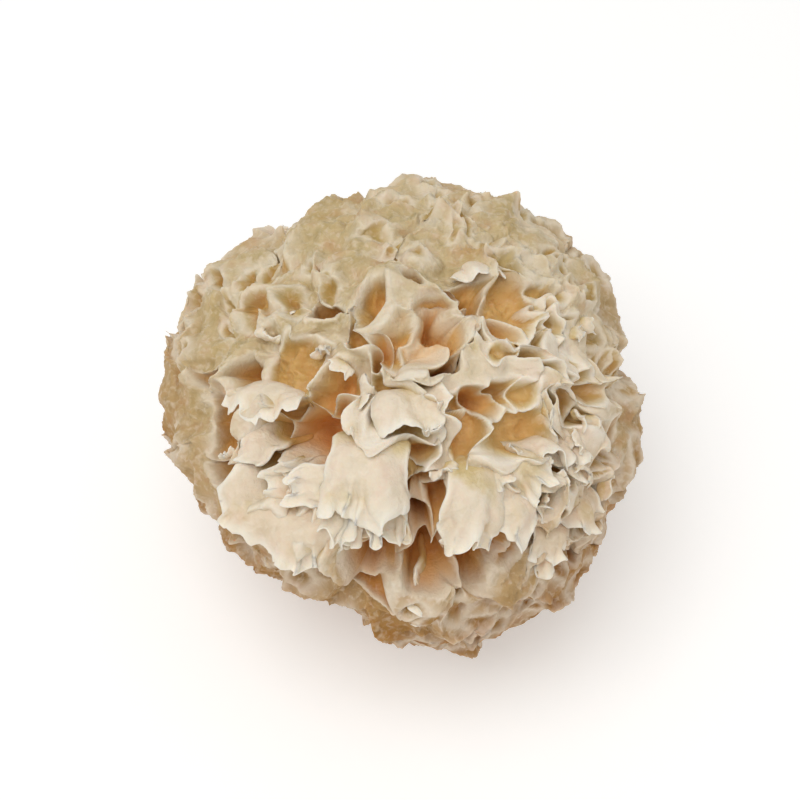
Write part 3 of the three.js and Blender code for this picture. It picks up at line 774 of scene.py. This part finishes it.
# The stump narrows and flares at these shares of its height, to these shares of its radius. It is as dark
# as the bottom of a pit of the depth.
STUMP_HEIGHTS = [0, 0.04, 0.3, 0.6, 0.85, 1]
STUMP_RADII = [0.97, 1, 0.88, 1, 1.12, 0.9]
STUMP_DEPTH = 9.0

# The pits in the cut face, this much finer than creases and so many millimetres deep at most.
CUT_PIT_FINENESS = 2.2
CUT_PIT_DEPTH = 2.2


def cut_base(material):
    """The hard stump under the middle, cut flat below, with a wrinkled side and a pitted cut."""
    out, faces = fine_ball(6)
    spread = np.linalg.norm(out[:, :2], axis=1)
    stretch = 1 / np.maximum(np.abs(out[:, 2]) / (BASE_HEIGHT / 2), spread / BASE_RADIUS)
    points = out * stretch[:, None] + np.array([0, 0, BASE_HEIGHT / 2])
    height = points[:, 2] / BASE_HEIGHT
    angle = np.arctan2(points[:, 1], points[:, 0])
    swell = 1 + 0.07 * np.sin(3 * angle + 0.6) + 0.05 * np.sin(5 * angle + 2.1)
    profile = np.interp(height, STUMP_HEIGHTS, STUMP_RADII)
    wrinkle = 0.02 * np.sin(17 * angle + 4 * height) + 0.015 * np.sin(31 * angle + 1.3)
    points[:, :2] *= (swell * profile * (1 + wrinkle * smooth(height, 0, 0.1)))[:, None]
    from_middle = np.linalg.norm(points[:, :2], axis=1) / BASE_RADIUS
    on_cut = (height < 0.001) & (from_middle < 0.85)
    cut_pits = np.maximum(0, wave_creases(CREASES, points * CUT_PIT_FINENESS)) * CUT_PIT_DEPTH
    points[:, 2] += np.where(on_cut, cut_pits * smooth(0.85 - from_middle, 0, 0.2), 0)
    none = np.zeros(len(points))
    values = {"deep": none + STUMP_DEPTH, "crest": none, "open": none}
    finish_piece(mesh_piece("cut_base", points, faces, values), material)


# ---- Finishes ----


def linear(hex_colour):
    """An sRGB hex colour as the linear colour that shaders take."""
    channels = [int(hex_colour[k:k + 2], 16) / 255 for k in (0, 2, 4)]
    return (*[c / 12.92 if c <= 0.04045 else ((c + 0.055) / 1.055) ** 2.4 for c in channels], 1.0)


def add(tree, kind, inputs=None, stops=None, **settings):
    """Adds a node with its settings. Each input is a value, or another node's output to link. Stops are a
    colour ramp's places and hex colours."""
    node = tree.nodes.new("ShaderNode" + kind)
    for name, value in settings.items():
        setattr(node, name, value)
    for name, value in (inputs or {}).items():
        if isinstance(value, bpy.types.NodeSocket):
            tree.links.new(value, node.inputs[name])
        else:
            node.inputs[name].default_value = value
    if stops:
        elements = node.color_ramp.elements
        while len(elements) < len(stops):
            elements.new(0.5)
        for element, (place, hex_colour) in zip(elements, stops):
            element.position = place
            element.color = linear(hex_colour)
    return node


def per_millimetre(size):
    """A texture scale, in repeats per metre, for a pattern of this size in millimetres."""
    return 1 / (size * METRES)


def new_material(name):
    material = bpy.data.materials.new(name)
    material.use_nodes = True
    tree = material.node_tree
    return material, tree, tree.nodes["Principled BSDF"]


def dried_tissue():
    """Dried fungus tissue: a thin gelatinous sheet that dried in air. Its open faces are matt, papery and
    cream. Deep between the fronds it stays thick, horny and amber, a colour that also carries painted shade
    and painted warm light in the hollows. Its torn rims and thin crests are the palest, partly with a painted
    highlight."""
    material, tree, shader = new_material("dried_fungus_tissue")
    place = add(tree, "TexCoord").outputs["Object"]
    deep = add(tree, "Attribute", attribute_name="deep").outputs["Fac"]
    crest = add(tree, "Attribute", attribute_name="crest").outputs["Fac"]
    is_open = add(tree, "Attribute", attribute_name="open").outputs["Fac"]
    # Patches some 9 mm wide, where the tissue dried thicker or thinner.
    patches = add(tree, "TexNoise", {"Vector": place, "Scale": per_millimetre(9), "Detail": 3.0})
    patchy = add(tree, "MapRange", {"Value": patches.outputs["Fac"], "From Min": 0.3, "From Max": 0.7,
                                    "To Min": -1.0, "To Max": 1.0})
    depth = add(tree, "Math", {0: deep, 1: patchy.outputs["Result"]}, operation="ADD")
    # The deepest hollows are some 20 mm deep.
    depth_share = add(tree, "Math", {0: depth.outputs[0], 1: 20.0}, operation="DIVIDE")
    # Colour by depth: the amber of thick horny tissue, together with painted shade in the hollows and painted
    # warm light that shines through and bounces between their walls.
    colour = add(tree, "ValToRGB", {"Fac": depth_share.outputs[0]}, stops=[
        (0.02, "EFE2CF"), (0.07, "DECA9A"), (0.17, "D6B272"), (0.42, "F4CA88"), (0.90, "FAC484")])
    # Grey-green and pinkish casts some 5 mm wide, strongest on the closed skin.
    cast = add(tree, "TexNoise", {"Vector": place, "Scale": per_millimetre(5), "Detail": 5.0,
                                  "Roughness": 0.6})
    casts = add(tree, "ValToRGB", {"Fac": cast.outputs["Fac"]}, stops=[
        (0.33, "CFC6A4"), (0.50, "EDE8D8"), (0.67, "E6CFBD")])
    cast_strength = add(tree, "MapRange", {"Value": is_open, "To Min": 0.75, "To Max": 0.4})
    cast_over = add(tree, "Mix", {"Factor": cast_strength.outputs["Result"], 6: colour.outputs[0],
                                  7: casts.outputs[0]}, data_type="RGBA", blend_type="MULTIPLY")
    # The closed skin is darker and more olive.
    closed = add(tree, "MapRange", {"Value": is_open, "To Min": 0.85, "To Max": 0.0})
    tinted = add(tree, "Mix", {"Factor": closed.outputs["Result"], 6: cast_over.outputs[2],
                               7: linear("DFD4B0")}, data_type="RGBA", blend_type="MULTIPLY")
    # The skin is darker and browner towards the base, most so where it is closed: partly the base's own
    # browner tissue, partly painted shade on the underside. Heights are in metres.
    height = add(tree, "SeparateXYZ", {"Vector": place}).outputs["Z"]
    lowness = add(tree, "MapRange", {"Value": height, "From Min": 0.080, "From Max": 0.044})
    less_open = add(tree, "MapRange", {"Value": is_open, "To Min": 1.0, "To Max": 0.5})
    brownness = add(tree, "Math", {0: lowness.outputs["Result"], 1: less_open.outputs["Result"]},
                    operation="MULTIPLY")
    browner = add(tree, "Mix", {"Factor": brownness.outputs[0], 6: tinted.outputs[2], 7: linear("D6B072")},
                  data_type="RGBA", blend_type="MULTIPLY")
    # Thin crests and torn rims are palest: partly paler dried tissue, partly a painted highlight along them.
    crest_narrow = add(tree, "Math", {0: crest, 1: 2.0}, operation="POWER")
    crest_pale_and_highlight = add(tree, "MapRange", {"Value": is_open, "To Min": 0.45, "To Max": 0.78})
    crest_share = add(tree, "Math", {0: crest_narrow.outputs[0], 1: crest_pale_and_highlight.outputs["Result"]},
                      operation="MULTIPLY")
    pale_and_highlit_crests = add(tree, "Mix", {"Factor": crest_share.outputs[0], 6: browner.outputs[2], 7: linear("F7EFE0")},
                data_type="RGBA")
    # Fine wrinkles about 1.6 mm apart over a grain of 0.5 mm. Their tops get a painted highlight, less of it
    # deep down.
    wrinkles = add(tree, "TexNoise", {"Vector": place, "Scale": per_millimetre(1.6), "Detail": 5.0,
                                      "Distortion": 0.6})
    wrinkle_tops = add(tree, "MapRange", {"Value": wrinkles.outputs["Fac"], "From Min": 0.50,
                                          "From Max": 0.66, "To Min": 0.0, "To Max": 0.28})
    near_surface = add(tree, "MapRange", {"Value": depth_share.outputs[0], "From Min": 0.05,
                                          "From Max": 0.25, "To Min": 1.0, "To Max": 0.2})
    wrinkle_highlights = add(tree, "Math", {0: wrinkle_tops.outputs["Result"], 1: near_surface.outputs["Result"]},
                  operation="MULTIPLY")
    with_wrinkle_highlights = add(tree, "Mix", {"Factor": wrinkle_highlights.outputs[0], 6: pale_and_highlit_crests.outputs[2], 7: linear("F3E7D5")},
                   data_type="RGBA")
    tree.links.new(with_wrinkle_highlights.outputs[2], shader.inputs["Base Color"])
    grain = add(tree, "TexNoise", {"Vector": place, "Scale": per_millimetre(0.5), "Detail": 2.0})
    relief = add(tree, "Math", {0: grain.outputs["Fac"], 1: 0.35, 2: wrinkles.outputs["Fac"]},
                 operation="MULTIPLY_ADD")
    bump = add(tree, "Bump", {"Height": relief.outputs[0], "Strength": 0.7, "Distance": 0.45 * METRES})
    tree.links.new(bump.outputs["Normal"], shader.inputs["Normal"])
    # Horny and a little glossier deep down, matt on the open faces.
    gloss = add(tree, "MapRange", {"Value": depth_share.outputs[0], "From Min": 0.1, "From Max": 0.8,
                                   "To Min": 0.62, "To Max": 0.45})
    tree.links.new(gloss.outputs["Result"], shader.inputs["Roughness"])
    shader.inputs["IOR"].default_value = 1.42
    shader.inputs["Subsurface Weight"].default_value = 0.45
    shader.inputs["Subsurface Radius"].default_value = (1.0, 0.8, 0.6)
    shader.inputs["Subsurface Scale"].default_value = 0.8 * METRES
    return material


def pale_floor():
    """Matt white card, so pale that the head's soft shadow is all that shows on it."""
    material, _, shader = new_material("white_card")
    shader.inputs["Base Color"].default_value = linear("F7F6F4")
    shader.inputs["Roughness"].default_value = 0.9
    shader.inputs["Emission Color"].default_value = (1, 1, 1, 1)
    shader.inputs["Emission Strength"].default_value = 0.22
    return material


# ---- Camera, light and floor ----

# The camera looks straight at the best side, with this width in view there, in metres, and aims a little
# above the middle of the solid. The lens and the sensor are in millimetres.
FRAME_WIDTH = 0.177
AIM_UP = 0.0044
LENS = 85
SENSOR = 36

# A soft key light stands before the best side, to the left and above, in metres from the middle. It has a
# size in metres and a power in watts. White walls all round give the rest of the light.
KEY_OUT = 0.75
KEY_LEFT = 0.17
KEY_UP = 0.26
KEY_SIZE = 0.50
KEY_POWER = 2.75
WORLD_STRENGTH = 0.60
FLOOR_SIZE = 12


def set_camera():
    data = bpy.data.cameras.new("camera")
    data.lens = LENS
    data.sensor_width = SENSOR
    camera = bpy.data.objects.new("camera", data)
    low, high = SOLID_BOX
    target = Vector((0, 0, (low[2] + high[2]) / 2)) + Vector(UP) * AIM_UP
    camera.location = target + Vector(OUT) * (LENS / SENSOR * FRAME_WIDTH)
    camera.rotation_euler = (target - camera.location).to_track_quat("-Z", "Y").to_euler()
    bpy.context.scene.collection.objects.link(camera)
    bpy.context.scene.camera = camera


def area_light(name, place, size, power):
    data = bpy.data.lights.new(name, "AREA")
    data.size = size
    data.energy = power
    light = bpy.data.objects.new(name, data)
    light.location = place
    light.rotation_euler = (Vector(MIDDLE * METRES) - light.location).to_track_quat("-Z", "Y").to_euler()
    bpy.context.scene.collection.objects.link(light)


def set_light():
    world = bpy.data.worlds.new("studio")
    world.use_nodes = True
    world.node_tree.nodes["Background"].inputs["Strength"].default_value = WORLD_STRENGTH
    world.node_tree.nodes["Background"].inputs["Color"].default_value = (1, 1, 1, 1)
    bpy.context.scene.world = world
    place = MIDDLE * METRES + KEY_OUT * OUT - KEY_LEFT * ACROSS + KEY_UP * UP
    area_light("key_light", place, KEY_SIZE, KEY_POWER)
    bpy.context.scene.view_settings.view_transform = "Standard"


def set_floor():
    bpy.ops.mesh.primitive_plane_add(size=FLOOR_SIZE)
    floor = bpy.context.object
    floor.name = "floor"
    floor.data.materials.append(pale_floor())


set_camera()
set_light()
set_floor()
tissue = dried_tissue()
skin(tissue)
joined_fronds("fronds", shown_fronds(), FROND_POINTS, THICKNESS, 2.0, tissue)
joined_fronds("frills", frills(), FRILL_POINTS, FRILL_THICKNESS, 1.2, tissue)
cut_base(tissue)
